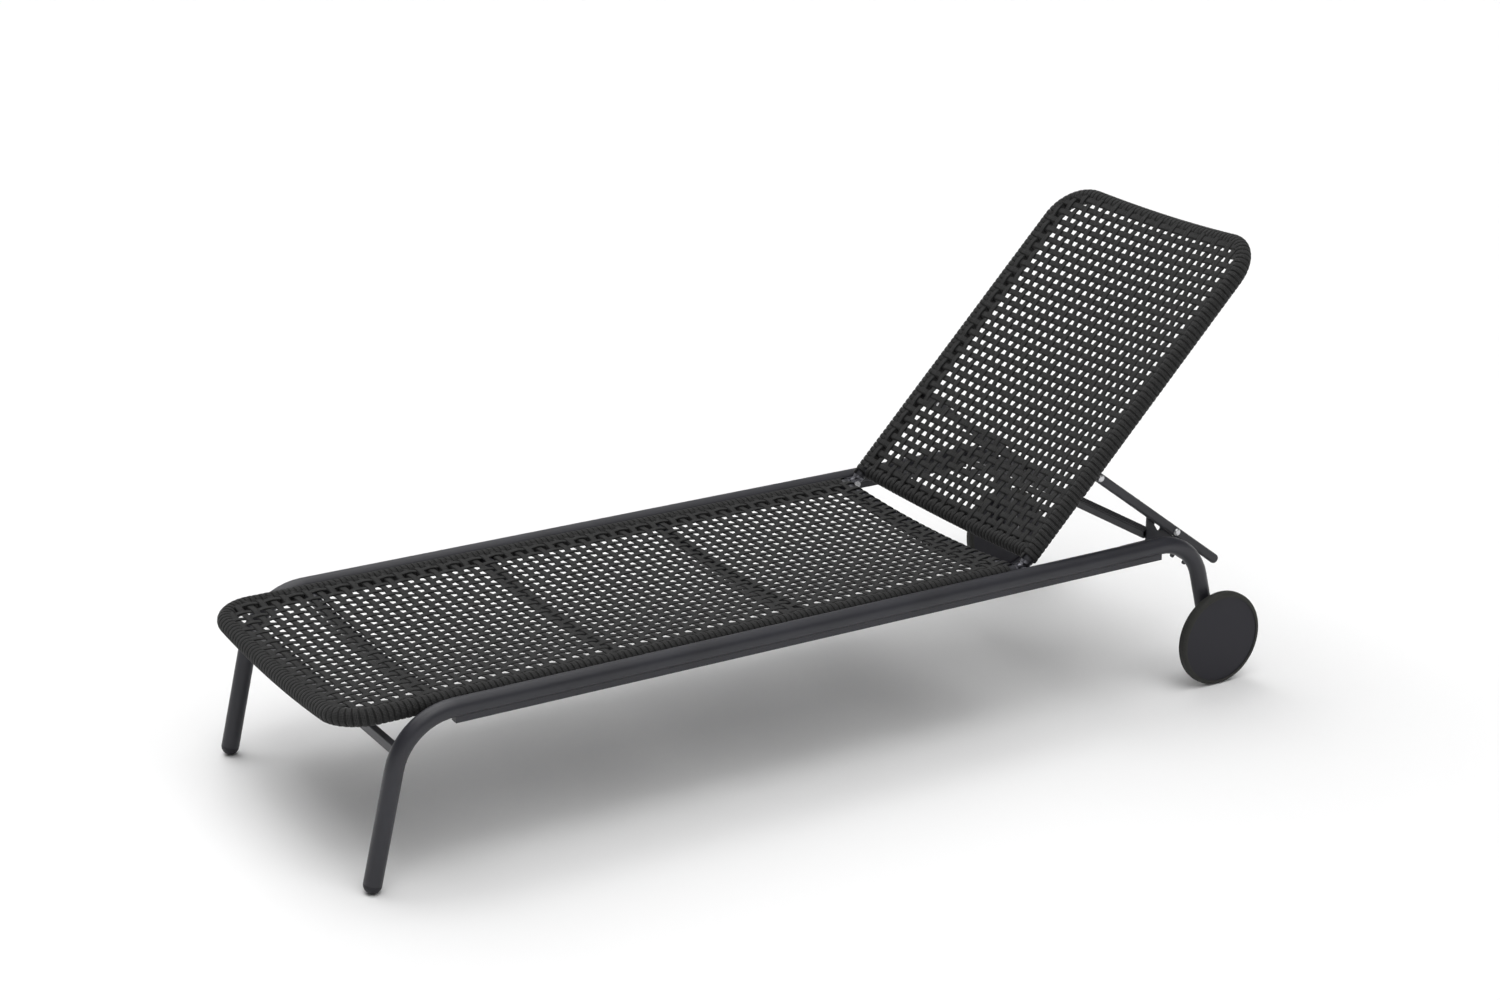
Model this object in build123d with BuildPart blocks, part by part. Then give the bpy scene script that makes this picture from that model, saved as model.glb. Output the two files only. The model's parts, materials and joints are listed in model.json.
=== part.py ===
"""Reclining sun lounger: bent tube frame on two feet and two wheels, a corded
seat between the rails and a corded backrest on two notched stays.

Millimetres. X runs from the foot end to the head end, Y across, Z up, and the
floor is Z = 0. The origin is on the floor, in the middle of the outline.
"""
import os
from math import atan2, cos, hypot, radians, sin, tan

from build123d import *

# Side frames, one bent tube a side
tube_d = 30.0
tube_wall = 2.0
half_track = 297.0
rail_z = 276.0
front_lean = 13.63
rear_lean = 14.73
front_bend_r = 105.0
rear_bend_r = 95.0
rear_corner_x = 1586.0
rear_leg_past_axle = 20.0
plug_len = 22.0
plug_flange = 2.5
plug_clearance = 0.15
plug_air = 4.0

# Bars of the frame
under_rail_w = 16.0
under_rail_drop = 8.4
under_rail_seat = 5.0
weld_gap = 0.1
stretcher_drop = 51.0
stretcher_w = 12.0
stretcher_h = 18.0
stretcher_edge_r = 2.0

# Wheels
wheel_r = 87.3
wheel_w = 18.0
tyre_h = 8.5
tyre_edge_r = 6.0
tyre_lip = 1.2
wheel_gap = 6.0
axle_d = 12.0
axle_collar_d = 24.0
axle_head = 4.0
wheel_cover = 4.0
hub_d = 34.0
hub_recess = 3.0
run_clearance = 0.06
side_play = 0.3

# Seat
core_d = 22.0
core_wall = 2.0
wrap_t = 3.6
wrap_gap = 0.1
seat_air = 3.4
seat_front_x = -22.5
seat_corner_r = 60.0
seat_bow = 4.8
seat_bar_d = 20.0
seat_bar_x = (141.5, 467.5, 809.0)
rear_bar_d = 25.0
rear_bar_clear = 2.1
weave_t = 4.0
weave_lift = 12.0
weave_bar = 25.0
weave_openings_across = 12
seat_openings_along = 24
back_openings_along = 14
weave_gap = 0.3
spacer_d = 12.0

# Hinge between seat and backrest
hinge_x = 1236.6
knuckle_r = 10.0
eye_t = 8.0
cheek_t = 5.0
hinge_pin_d = 8.0
hinge_head_d = 14.0
hinge_head_t = 3.0
knuckle_reach = 16.0
knuckle_plug = 24.0
fork_lap = 1.0

# Backrest
recline = 45.92
back_inset = 0.8
back_len = 701.0
back_corner_r = 69.6
back_bow = 6.35
back_bar_d = 22.0
back_bar_u = 34.5

# Stays and rack plates
stay_t = 10.0
stay_h = 17.4
stay_edge_r = 4.2
stay_len = 347.0
stay_to_pin = 221.8
stay_angle = 36.8
rail_air = 22.7
pivot_u = 214.3
stay_air = 7.9
lug_t = 5.0
lug_r = 9.0
lug_web = 10.0
pin_d = 8.0
pin_head_d = 13.5
pin_head_h = 4.0
plate_t = 4.0
plate_play = 3.0
pin_stop = 0.6
plate_set = 15.4
plate_horn = 17.0
plate_edge_over = 8.5
notch_w = 9.0
notch_len = 21.0
notch_over = 0.5
lobe_r = 4.0
lobe_out = 2.5
notch_lean = 32.0
notch_recline = (56.5, 45.92, 35.0, 23.3)
stay_ratio = -1.35
plate_depth = 37.0
plate_tail = 28.0
plate_foot_back = 20.0
plate_foot_len = 20.0
plate_foot_rise = 12.0
plate_foot_up = 0.5
plate_end = 9.0
plate_shoulder_drop = 10.0
crossbar_w = 20.0
crossbar_h = 15.0
crossbar_set = 3.8
crossbar_rise = 1.2
crossbar_groove_w = 2.4
crossbar_groove_d = 1.2
crossbar_wall = 2.0

# Derived sizes
tube_r = tube_d / 2
core_r = core_d / 2
wrap_r = core_r + wrap_t
seat_half_w = half_track - tube_r - wrap_r - seat_air
back_half_w = seat_half_w - back_inset
pivot_drop = wrap_r + stay_h / 2 + stay_air
stretcher_z = rail_z - stretcher_drop
front_corner_x = (rail_z - tube_r) * tan(radians(front_lean))
axle_x = rear_corner_x + (rail_z - wheel_r) * tan(radians(rear_lean))
rail_start = front_corner_x + front_bend_r * tan(radians((90 - front_lean) / 2))
rail_end = rear_corner_x - rear_bend_r * tan(radians((90 - rear_lean) / 2))


def bow_depth(half_w, corner_r, bow):
    """How far the middle of a bowed cross tube lies behind its ends."""
    straight = half_w - corner_r * cos(radians(bow))
    return corner_r * sin(radians(bow)) + straight * tan(radians(bow / 2))


seat_sag = bow_depth(seat_half_w, seat_corner_r, seat_bow)
back_sag = bow_depth(back_half_w, back_corner_r, back_bow)
rec = radians(recline)
outline_min = seat_front_x - wrap_r
outline_max = hinge_x + back_len * cos(rec) + back_sag * sin(rec) + wrap_r
x_mid = (outline_min + outline_max) / 2
hinge = (hinge_x - x_mid, rail_z)
rear_bar_x = hinge_x - knuckle_r - rear_bar_d / 2 - rear_bar_clear


def lx(x):
    """X in the part's frame of a point given from the front foot."""
    return x - x_mid


def back_pt(u, y, h):
    """Point u along the backrest from the hinge, y across and h in front of it."""
    x = hinge[0] + u * cos(rec) - h * sin(rec)
    return (x, y, hinge[1] + u * sin(rec) + h * cos(rec))


def swing(angle):
    """Stay pivot and lock pin, as X and Z, with the backrest at an angle."""
    reach = hypot(pivot_u, pivot_drop)
    lean = radians(angle) - atan2(pivot_drop, pivot_u)
    px = hinge[0] + reach * cos(lean)
    pz = hinge[1] + reach * sin(lean)
    slope = radians(-stay_angle + (1 + stay_ratio) * (angle - recline))
    return (px, pz), (px + stay_to_pin * cos(slope), pz + stay_to_pin * sin(slope))


pivot, pin = swing(recline)
stay_out = half_track - tube_r - rail_air - pin_head_h - side_play
stay_in = stay_out - stay_t
plate_out = stay_in - plate_play
plate_in = plate_out - plate_t
os.makedirs("parts", exist_ok=True)


def save(part, name):
    """Label a finished piece and write it to its own file."""
    part.label = name
    export_step(part, f"parts/{name}.step")


# Side frames: front leg, bend, rail, bend and short rear leg in one tube
leg_foot = (lx(0), tube_r)
leg_dir = (sin(radians(front_lean)), cos(radians(front_lean)))
rear_dir = (sin(radians(rear_lean)), -cos(radians(rear_lean)))
axle_c = (lx(axle_x), wheel_r)
rear_end = (axle_c[0] + rear_leg_past_axle * rear_dir[0], axle_c[1] + rear_leg_past_axle * rear_dir[1])


def side_path(y):
    """Centre line of one side frame."""
    with BuildLine() as line:
        FilletPolyline(
            (leg_foot[0], y, leg_foot[1]),
            (lx(front_corner_x), y, rail_z),
            (lx(rear_corner_x), y, rail_z),
            (rear_end[0], y, rear_end[1]),
            radius=(front_bend_r, rear_bend_r),
        )
    return line.line


side_tools = {}
for side, s in (("left", -1), ("right", 1)):
    path = side_path(s * half_track)
    start = Plane(origin=path @ 0, z_dir=path % 0)
    with BuildPart() as side_frame:
        with BuildSketch(start):
            Circle(tube_r)
            Circle(tube_r - tube_wall, mode=Mode.SUBTRACT)
        sweep(path=path)
        with BuildSketch(Plane.XZ.offset(-s * half_track)):
            with Locations(axle_c):
                Circle(axle_d / 2 + run_clearance)
        extrude(amount=tube_d, both=True, mode=Mode.SUBTRACT)
    save(side_frame.part, f"side_frame_{side}")
    with BuildPart() as side_tool:
        with BuildSketch(start):
            Circle(tube_r + weld_gap)
        sweep(path=path)
    side_tools[side] = side_tool.part

# Rounded plugs in the front legs and flat plugs in the rear legs
for side, s in (("left", -1), ("right", 1)):
    up = Plane(
        origin=(leg_foot[0], s * half_track, leg_foot[1]),
        x_dir=(0, 1, 0),
        z_dir=(leg_dir[0], 0, leg_dir[1]),
    )
    with BuildPart(up) as foot_cap:
        Sphere(
            tube_r,
            arc_size1=-90,
            arc_size2=0,
            align=(Align.CENTER, Align.CENTER, Align.MAX),
        )
        Cylinder(
            tube_r - tube_wall - plug_clearance,
            plug_len,
            align=(Align.CENTER, Align.CENTER, Align.MIN),
        )
    save(foot_cap.part, f"foot_cap_{side}")
    down = Plane(
        origin=(rear_end[0], s * half_track, rear_end[1]),
        x_dir=(0, 1, 0),
        z_dir=(rear_dir[0], 0, rear_dir[1]),
    )
    with BuildPart(down) as leg_plug:
        Cylinder(tube_r, plug_flange, align=(Align.CENTER, Align.CENTER, Align.MIN))
        fillet(leg_plug.edges().sort_by(Axis.Z)[0], plug_flange / 2)
        Cylinder(
            tube_r - tube_wall - plug_clearance,
            rear_leg_past_axle - axle_d / 2 - plug_air,
            align=(Align.CENTER, Align.CENTER, Align.MAX),
        )
    save(leg_plug.part, f"leg_plug_{side}")

# Bars welded under the straight part of each rail, saddled to the tube
for side, s in (("left", -1), ("right", 1)):
    with BuildPart() as under_rail:
        with BuildSketch(Plane.YZ.offset(lx(rail_start))):
            with Locations((s * half_track, rail_z - tube_r - under_rail_drop)):
                Rectangle(
                    under_rail_w,
                    under_rail_drop + under_rail_seat,
                    align=(Align.CENTER, Align.MIN),
                )
            with Locations((s * half_track, rail_z)):
                Circle(tube_r + weld_gap, mode=Mode.SUBTRACT)
        extrude(amount=rail_end - rail_start)
    save(under_rail.part, f"under_rail_{side}")

# Front stretcher, coped to the front legs
stretcher_x = leg_foot[0] + (stretcher_z - leg_foot[1]) * tan(radians(front_lean))
with BuildPart() as front_stretcher:
    with BuildSketch(Plane.XZ):
        with Locations((stretcher_x, stretcher_z)):
            RectangleRounded(stretcher_w, stretcher_h, stretcher_edge_r)
    extrude(amount=half_track, both=True)
    add(side_tools["left"], mode=Mode.SUBTRACT)
    add(side_tools["right"], mode=Mode.SUBTRACT)
    middle = front_stretcher.solids().sort_by(SortBy.VOLUME)[-1]
with BuildPart() as front_stretcher:
    add(middle)
save(front_stretcher.part, "front_stretcher")

# Wheels: a collared stub axle, a plain disc with a blind bore and a rubber ring
wheel_in = half_track + tube_r + wheel_gap
for side, s in (("left", -1), ("right", 1)):
    out = Plane(origin=(axle_c[0], 0, axle_c[1]), x_dir=(1, 0, 0), z_dir=(0, s, 0))
    with BuildPart() as axle:
        with BuildSketch(out.offset(half_track - tube_r)):
            Circle(axle_d / 2)
        extrude(amount=tube_d + wheel_gap + wheel_w - wheel_cover - side_play)
        with BuildSketch(out.offset(half_track + tube_r + weld_gap)):
            Circle(axle_collar_d / 2)
        extrude(amount=wheel_gap - weld_gap - side_play)
        with BuildSketch(out.offset(half_track - tube_r - weld_gap)):
            Circle(axle_d / 2 + axle_head)
        extrude(amount=-axle_head)
        with BuildSketch(out.offset(half_track - tube_r - weld_gap)):
            Circle(axle_d / 2)
        extrude(amount=weld_gap)
    save(axle.part, f"axle_{side}")
    disc_r = wheel_r - tyre_h
    with BuildPart() as wheel_disc:
        with BuildSketch(out.offset(wheel_in)):
            Circle(disc_r)
        extrude(amount=wheel_w - tyre_lip)
        with BuildSketch(out.offset(wheel_in)):
            Circle(disc_r - tyre_h)
            Circle(hub_d / 2, mode=Mode.SUBTRACT)
        extrude(amount=hub_recess, mode=Mode.SUBTRACT)
        with BuildSketch(out.offset(wheel_in)):
            Circle(axle_d / 2 + run_clearance)
        extrude(amount=wheel_w - wheel_cover, mode=Mode.SUBTRACT)
    save(wheel_disc.part, f"wheel_disc_{side}")
    with BuildPart() as wheel_tyre:
        with BuildSketch(out.offset(wheel_in)):
            Circle(wheel_r)
        extrude(amount=wheel_w)
        fillet(wheel_tyre.edges().filter_by(GeomType.CIRCLE), tyre_edge_r)
        with BuildSketch(out.offset(wheel_in)):
            Circle(disc_r)
        extrude(amount=wheel_w, mode=Mode.SUBTRACT)
    save(wheel_tyre.part, f"wheel_tyre_{side}")


def seat_path(x_end):
    """Centre line of the seat's U, from one rear end round the bowed front."""
    b = radians(seat_bow)
    yb = seat_half_w - seat_corner_r * cos(b)
    zb = rail_z - seat_corner_r * sin(b)
    xc = lx(seat_front_x + seat_corner_r)
    xf = lx(seat_front_x)
    with BuildLine() as line:
        Line((x_end, -seat_half_w, rail_z), (xc, -seat_half_w, rail_z))
        TangentArc((xc, -seat_half_w, rail_z), (xf, -yb, zb), tangent=(-1, 0, 0))
        TangentArc((xf, -yb, zb), (xf, yb, zb), tangent=(0, cos(b), -sin(b)))
        TangentArc((xf, yb, zb), (xc, seat_half_w, rail_z), tangent=(0, cos(b), sin(b)))
        Line((xc, seat_half_w, rail_z), (x_end, seat_half_w, rail_z))
    return line.line


def back_path(u_end):
    """Centre line of the backrest's U, from one lower end round the bowed top."""
    b = radians(back_bow)
    yb = back_half_w - back_corner_r * cos(b)
    hb = -back_corner_r * sin(b)
    uc = back_len - back_corner_r
    along = (cos(rec), 0, sin(rec))
    up = (sin(b) * sin(rec), cos(b), -sin(b) * cos(rec))
    down = (-sin(b) * sin(rec), cos(b), sin(b) * cos(rec))
    with BuildLine() as line:
        Line(back_pt(u_end, -back_half_w, 0), back_pt(uc, -back_half_w, 0))
        TangentArc(back_pt(uc, -back_half_w, 0), back_pt(back_len, -yb, hb), tangent=along)
        TangentArc(back_pt(back_len, -yb, hb), back_pt(back_len, yb, hb), tangent=up)
        TangentArc(back_pt(back_len, yb, hb), back_pt(uc, back_half_w, 0), tangent=down)
        Line(back_pt(uc, back_half_w, 0), back_pt(u_end, back_half_w, 0))
    return line.line


def tube(path, r_out, r_in):
    """Round tube along a path, solid where the inner radius is zero."""
    with BuildPart() as made:
        with BuildSketch(Plane(origin=path @ 0, z_dir=path % 0)):
            Circle(r_out)
            if r_in > 0:
                Circle(r_in, mode=Mode.SUBTRACT)
        sweep(path=path)
    return made.part


def seat_bar_path(x, drop):
    """Bowed centre line across the seat, from side tube to side tube."""
    with BuildLine() as line:
        ThreePointArc(
            (lx(x), -seat_half_w, rail_z - drop),
            (lx(x), 0, rail_z - drop - seat_sag),
            (lx(x), seat_half_w, rail_z - drop),
        )
    return line.line


# Seat: U-shaped tube, three bowed cross tubes under the weave and a rear tube
seat_end = lx(hinge_x - knuckle_reach)
seat_u = seat_path(seat_end)
seat_tool = tube(seat_path(hinge[0]), core_r + weld_gap, 0)
seat_frame = tube(seat_u, core_r, core_r - core_wall)
save(seat_frame, "seat_frame")
bar_drop = seat_bar_d / 2 + weave_t / 2 + weave_gap - weave_lift
seat_bars = []
for name, x in zip(("front", "middle", "rear"), seat_bar_x):
    with BuildPart() as seat_crossbar:
        add(tube(seat_bar_path(x, bar_drop), seat_bar_d / 2, seat_bar_d / 2 - core_wall))
        add(seat_tool, mode=Mode.SUBTRACT)
        middle = seat_crossbar.solids().sort_by(SortBy.VOLUME)[-1]
    with BuildPart() as seat_crossbar:
        add(middle)
    save(seat_crossbar.part, f"seat_crossbar_{name}")
    seat_bars.append(tube(seat_bar_path(x, bar_drop), seat_bar_d / 2 + weave_gap, 0))
with BuildPart() as seat_rear_bar:
    add(tube(seat_bar_path(rear_bar_x, 0), rear_bar_d / 2, rear_bar_d / 2 - core_wall))
    add(seat_tool, mode=Mode.SUBTRACT)
    middle = seat_rear_bar.solids().sort_by(SortBy.VOLUME)[-1]
with BuildPart() as seat_rear_bar:
    add(middle)
save(seat_rear_bar.part, "seat_rear_bar")
seat_bars.append(tube(seat_bar_path(rear_bar_x, 0), rear_bar_d / 2 + weave_gap, 0))

# Studs that hold the seat between the rails, beside each cross tube
with BuildPart() as seat_spacers:
    for x in seat_bar_x:
        for s in (-1, 1):
            with BuildSketch(Plane.XZ.offset(-s * seat_half_w)):
                with Locations((lx(x), rail_z)):
                    Circle(spacer_d / 2)
            extrude(amount=-s * (half_track - seat_half_w))
    add(seat_tool, mode=Mode.SUBTRACT)
    add(side_tools["left"], mode=Mode.SUBTRACT)
    add(side_tools["right"], mode=Mode.SUBTRACT)
save(seat_spacers.part, "seat_spacers")
with BuildPart() as spacer_tool:
    for x in seat_bar_x:
        for s in (-1, 1):
            with BuildSketch(Plane.XZ.offset(-s * seat_half_w)):
                with Locations((lx(x), rail_z)):
                    Circle(spacer_d / 2 + weave_gap)
            extrude(amount=-s * (half_track - seat_half_w))

# Wound cord on the U, open where the cross tubes and studs pass through it
with BuildPart() as seat_wrap:
    add(tube(seat_u, wrap_r, core_r + wrap_gap))
    for bar in seat_bars:
        add(bar, mode=Mode.SUBTRACT)
    add(spacer_tool.part, mode=Mode.SUBTRACT)
    middle = seat_wrap.solids().sort_by(SortBy.VOLUME)[-1]
with BuildPart() as seat_wrap:
    add(middle)
save(seat_wrap.part, "seat_wrap")


def dish(plane, half_w, lift, sag, length):
    """Dished sheet of the weave, as long as its frame."""
    up = lift + weave_t / 2
    low = lift - weave_t / 2
    with BuildPart() as sheet:
        with BuildSketch(plane):
            with BuildLine():
                ThreePointArc((-half_w, up), (0, up - sag), (half_w, up))
                Line((half_w, up), (half_w, low))
                ThreePointArc((half_w, low), (0, low - sag), (-half_w, low))
                Line((-half_w, low), (-half_w, up))
            make_face()
        extrude(amount=length)
    return sheet.part


def openings(plane, half_w, start, end, rows):
    """Grid of openings through a woven panel, between equal bars."""
    wide = (2 * half_w - weave_bar) / weave_openings_across
    long = (end - start - weave_bar) / rows
    with BuildPart() as grid:
        with BuildSketch(plane.offset(-half_w)):
            with Locations(((start + end) / 2, 0)):
                with GridLocations(long, wide, rows, weave_openings_across):
                    Rectangle(long - weave_bar, wide - weave_bar)
        extrude(amount=2 * half_w)
    return grid.part


# Woven panel of the seat, held by the wound cord all round
seat_across = Plane(origin=(lx(seat_front_x), 0, rail_z), x_dir=(0, 1, 0), z_dir=(1, 0, 0))
with BuildPart() as seat_weave:
    add(dish(seat_across, seat_half_w, weave_lift, seat_sag, rear_bar_x - seat_front_x))
    add(tube(seat_u, wrap_r + weave_gap, 0), mode=Mode.SUBTRACT)
    add(seat_bars[-1], mode=Mode.SUBTRACT)
    middle = seat_weave.solids().sort_by(SortBy.VOLUME)[-1]
with BuildPart() as seat_weave:
    add(middle)
    add(
        openings(
            Plane.XY.offset(rail_z),
            seat_half_w - wrap_r,
            lx(seat_front_x) + wrap_r,
            lx(rear_bar_x) - rear_bar_d / 2,
            seat_openings_along,
        ),
        mode=Mode.SUBTRACT,
        clean=False,
    )
save(seat_weave.part, "seat_weave")

# Backrest: U-shaped tube and bowed bottom tube
back_u = back_path(knuckle_reach)
back_frame = tube(back_u, core_r, core_r - core_wall)
save(back_frame, "backrest_frame")
back_tool = tube(back_u, core_r + weld_gap, 0)
with BuildLine() as bottom_line:
    ThreePointArc(
        back_pt(back_bar_u, -back_half_w, 0),
        back_pt(back_bar_u, 0, -back_sag),
        back_pt(back_bar_u, back_half_w, 0),
    )
bottom_path = bottom_line.line
with BuildPart() as bottom_bar:
    add(tube(bottom_path, back_bar_d / 2, back_bar_d / 2 - core_wall))
    add(back_tool, mode=Mode.SUBTRACT)
    middle = bottom_bar.solids().sort_by(SortBy.VOLUME)[-1]
with BuildPart() as bottom_bar:
    add(middle)
save(bottom_bar.part, "backrest_bottom_bar")

# Angled lugs on the side tubes with the pins that the stays swing on
lug_in = stay_in - side_play - lug_t
for side, s in (("left", -1), ("right", 1)):
    lug_plane = Plane(
        origin=back_pt(pivot_u, s * lug_in, -pivot_drop),
        x_dir=(cos(rec), 0, sin(rec)),
        z_dir=(0, s, 0),
    )
    lift = 1 if s < 0 else -1
    with BuildPart() as lug:
        with BuildSketch(lug_plane):
            Circle(lug_r)
            with Locations((0, lift * (pivot_drop + lug_web / 2) / 2)):
                Rectangle(2 * lug_r, pivot_drop + lug_web / 2)
            Circle(pin_d / 2 + weld_gap, mode=Mode.SUBTRACT)
        extrude(amount=lug_t)
        with BuildSketch(lug_plane):
            with Locations((0, lift * pivot_drop)):
                Rectangle(2 * lug_r, lug_web)
        extrude(amount=back_half_w - lug_in)
        add(back_tool, mode=Mode.SUBTRACT)
        middle = lug.solids().sort_by(SortBy.VOLUME)[-1]
    with BuildPart() as lug:
        add(middle)
    save(lug.part, f"stay_lug_{side}")

with BuildPart() as stay_pivots:
    for s in (-1, 1):
        hole = Plane(origin=(pivot[0], 0, pivot[1]), x_dir=(1, 0, 0), z_dir=(0, s, 0))
        with BuildSketch(hole.offset(lug_in)):
            Circle(pin_d / 2)
        extrude(amount=lug_t + 2 * side_play + stay_t)
        with BuildSketch(hole.offset(stay_out + side_play)):
            Circle(pin_head_d / 2)
        extrude(amount=pin_head_h)
    rims = stay_pivots.edges().filter_by(GeomType.CIRCLE).sort_by(Axis.Y)
    fillet([rims[0], rims[-1]], pin_head_h * 0.8)
save(stay_pivots.part, "stay_pivots")

# Wound cord on the backrest's tubes
lug_slots = []
for s in (-1, 1):
    with BuildPart() as lug_slot:
        with BuildSketch(
            Plane(
                origin=back_pt(pivot_u, s * lug_in, 0),
                x_dir=(cos(rec), 0, sin(rec)),
                z_dir=(0, s, 0),
            )
        ):
            Rectangle(2 * (lug_r + weave_gap), lug_web + 2 * weave_gap)
        extrude(amount=back_half_w - lug_in)
    lug_slots.append(lug_slot.part)
bottom_tool = tube(bottom_path, back_bar_d / 2 + weave_gap, 0)
with BuildPart() as back_wrap:
    add(tube(back_u, wrap_r, core_r + wrap_gap))
    add(bottom_tool, mode=Mode.SUBTRACT)
    for slot in lug_slots:
        add(slot, mode=Mode.SUBTRACT)
    middle = back_wrap.solids().sort_by(SortBy.VOLUME)[-1]
with BuildPart() as back_wrap:
    add(middle)
save(back_wrap.part, "backrest_wrap")
bottom_wrap_r = back_bar_d / 2 + wrap_t
back_wrap_tool = tube(back_u, wrap_r + weave_gap, 0)
with BuildPart() as bottom_wrap:
    add(tube(bottom_path, bottom_wrap_r, back_bar_d / 2 + wrap_gap))
    add(back_wrap_tool, mode=Mode.SUBTRACT)
    middle = bottom_wrap.solids().sort_by(SortBy.VOLUME)[-1]
with BuildPart() as bottom_wrap:
    add(middle)
save(bottom_wrap.part, "backrest_bottom_wrap")

# Woven panel of the backrest
back_across = Plane(
    origin=back_pt(back_bar_u, 0, 0),
    x_dir=(0, 1, 0),
    z_dir=(cos(rec), 0, sin(rec)),
)
with BuildPart() as back_weave:
    add(dish(back_across, back_half_w, weave_lift, back_sag, back_len - back_bar_u))
    add(back_wrap_tool, mode=Mode.SUBTRACT)
    add(tube(bottom_path, bottom_wrap_r + weave_gap, 0), mode=Mode.SUBTRACT)
    middle = back_weave.solids().sort_by(SortBy.VOLUME)[-1]
with BuildPart() as back_weave:
    add(middle)
    add(
        openings(
            Plane(origin=back_pt(0, 0, 0), x_dir=back_across.z_dir, z_dir=(-sin(rec), 0, cos(rec))),
            back_half_w - wrap_r,
            back_bar_u + bottom_wrap_r,
            back_len - wrap_r,
            back_openings_along,
        ),
        mode=Mode.SUBTRACT,
        clean=False,
    )
save(back_weave.part, "backrest_weave")

# Hinge knuckles: a fork in each end of the seat's U, an eye in each end of the
# backrest's U and a headed bolt through both
plug_r = core_r - core_wall - plug_clearance
throat = eye_t / 2 + side_play
fork_half = throat + cheek_t
throat_back = knuckle_r + side_play
for side, s in (("left", -1), ("right", 1)):
    with BuildPart() as fork:
        with BuildSketch(Plane.XZ.offset(-s * seat_half_w)):
            with Locations(hinge):
                Circle(knuckle_r)
            with Locations((hinge[0] - throat_back - fork_lap, hinge[1])):
                Rectangle(
                    throat_back + fork_lap,
                    2 * knuckle_r,
                    align=(Align.MIN, Align.CENTER),
                )
        extrude(amount=fork_half, both=True)
        with BuildSketch(Plane.XZ.offset(-s * seat_half_w)):
            with Locations((hinge[0] - throat_back, hinge[1])):
                Rectangle(
                    3 * knuckle_r,
                    3 * knuckle_r,
                    align=(Align.MIN, Align.CENTER),
                )
        extrude(amount=throat, both=True, mode=Mode.SUBTRACT)
        with BuildSketch(Plane.XZ.offset(-s * seat_half_w)):
            with Locations(hinge):
                Circle(hinge_pin_d / 2 + weld_gap)
        extrude(amount=fork_half, both=True, mode=Mode.SUBTRACT)
        inward = Plane(
            origin=(seat_end, s * seat_half_w, rail_z),
            x_dir=(0, 1, 0),
            z_dir=(-1, 0, 0),
        )
        with BuildSketch(inward):
            Circle(knuckle_r)
        extrude(amount=-(knuckle_reach - throat_back))
        with BuildSketch(inward):
            Circle(plug_r)
        extrude(amount=knuckle_plug)
    save(fork.part, f"hinge_fork_{side}")
    along = Plane(
        origin=back_pt(0, s * seat_half_w, 0),
        x_dir=(cos(rec), 0, sin(rec)),
        z_dir=(0, -1, 0),
    )
    shank = Plane(
        origin=back_pt(knuckle_reach, s * back_half_w, 0),
        x_dir=(0, 1, 0),
        z_dir=(cos(rec), 0, sin(rec)),
    )
    with BuildPart() as eye:
        with BuildSketch(along):
            Circle(knuckle_r)
            with Locations((knuckle_reach / 2, 0)):
                Rectangle(knuckle_reach, 2 * knuckle_r * 0.8)
        extrude(amount=eye_t / 2, both=True)
        with BuildSketch(shank):
            Circle(knuckle_r)
        extrude(amount=-(knuckle_reach - knuckle_r - 2 * side_play))
        with BuildSketch(shank):
            Circle(plug_r)
        extrude(amount=knuckle_plug)
        with BuildSketch(along):
            Circle(hinge_pin_d / 2 + run_clearance)
        extrude(amount=eye_t, both=True, mode=Mode.SUBTRACT)
    save(eye.part, f"hinge_eye_{side}")
with BuildPart() as hinge_bolts:
    for s in (-1, 1):
        with BuildSketch(Plane.XZ.offset(-s * seat_half_w)):
            with Locations(hinge):
                Circle(hinge_pin_d / 2)
        extrude(amount=fork_half + weld_gap, both=True)
        for way in (-1, 1):
            with BuildSketch(Plane.XZ.offset(-s * seat_half_w - way * (fork_half + weld_gap))):
                with Locations(hinge):
                    Circle(hinge_head_d / 2)
            extrude(amount=-way * hinge_head_t)
save(hinge_bolts.part, "hinge_bolts")

# Stays, with the domed pins that drop into the rack plates
for side, s in (("left", -1), ("right", 1)):
    slope = radians(stay_angle)
    stay_plane = Plane(
        origin=(pivot[0], s * stay_in, pivot[1]),
        x_dir=(cos(slope), 0, -sin(slope)),
        z_dir=(0, s, 0),
    )
    span = stay_len - stay_h / 2
    with BuildPart() as stay:
        with BuildSketch(stay_plane):
            with Locations((span / 2, 0)):
                SlotCenterToCenter(span, stay_h)
        extrude(amount=stay_t)
        ends = stay.faces().sort_by(Axis.Y)
        fillet(ends[0].edges() + ends[-1].edges(), stay_edge_r)
        with BuildSketch(stay_plane):
            Circle(pin_d / 2 + run_clearance)
            with Locations((stay_to_pin, 0)):
                Circle(pin_d / 2 + weld_gap)
        extrude(amount=stay_t, mode=Mode.SUBTRACT)
    save(stay.part, f"stay_{side}")
    pin_plane = Plane(origin=(pin[0], 0, pin[1]), x_dir=(1, 0, 0), z_dir=(0, s, 0))
    with BuildPart() as lock_pin:
        with BuildSketch(pin_plane.offset(plate_out + pin_stop)):
            Circle(pin_d / 2)
        extrude(amount=stay_out - plate_out - pin_stop)
        with BuildSketch(pin_plane.offset(stay_out)):
            Circle(pin_head_d / 2)
        extrude(amount=pin_head_h)
        rims = lock_pin.edges().filter_by(GeomType.CIRCLE).sort_by(Axis.Y)
        fillet(rims[0] if s < 0 else rims[-1], pin_head_h * 0.8)
    save(lock_pin.part, f"lock_pin_{side}")

# Rack plates: a row of slanted slots along the lock pin's path, and a foot that
# turns out to the bar under the rail
seats = [swing(angle)[1] for angle in notch_recline]


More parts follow.
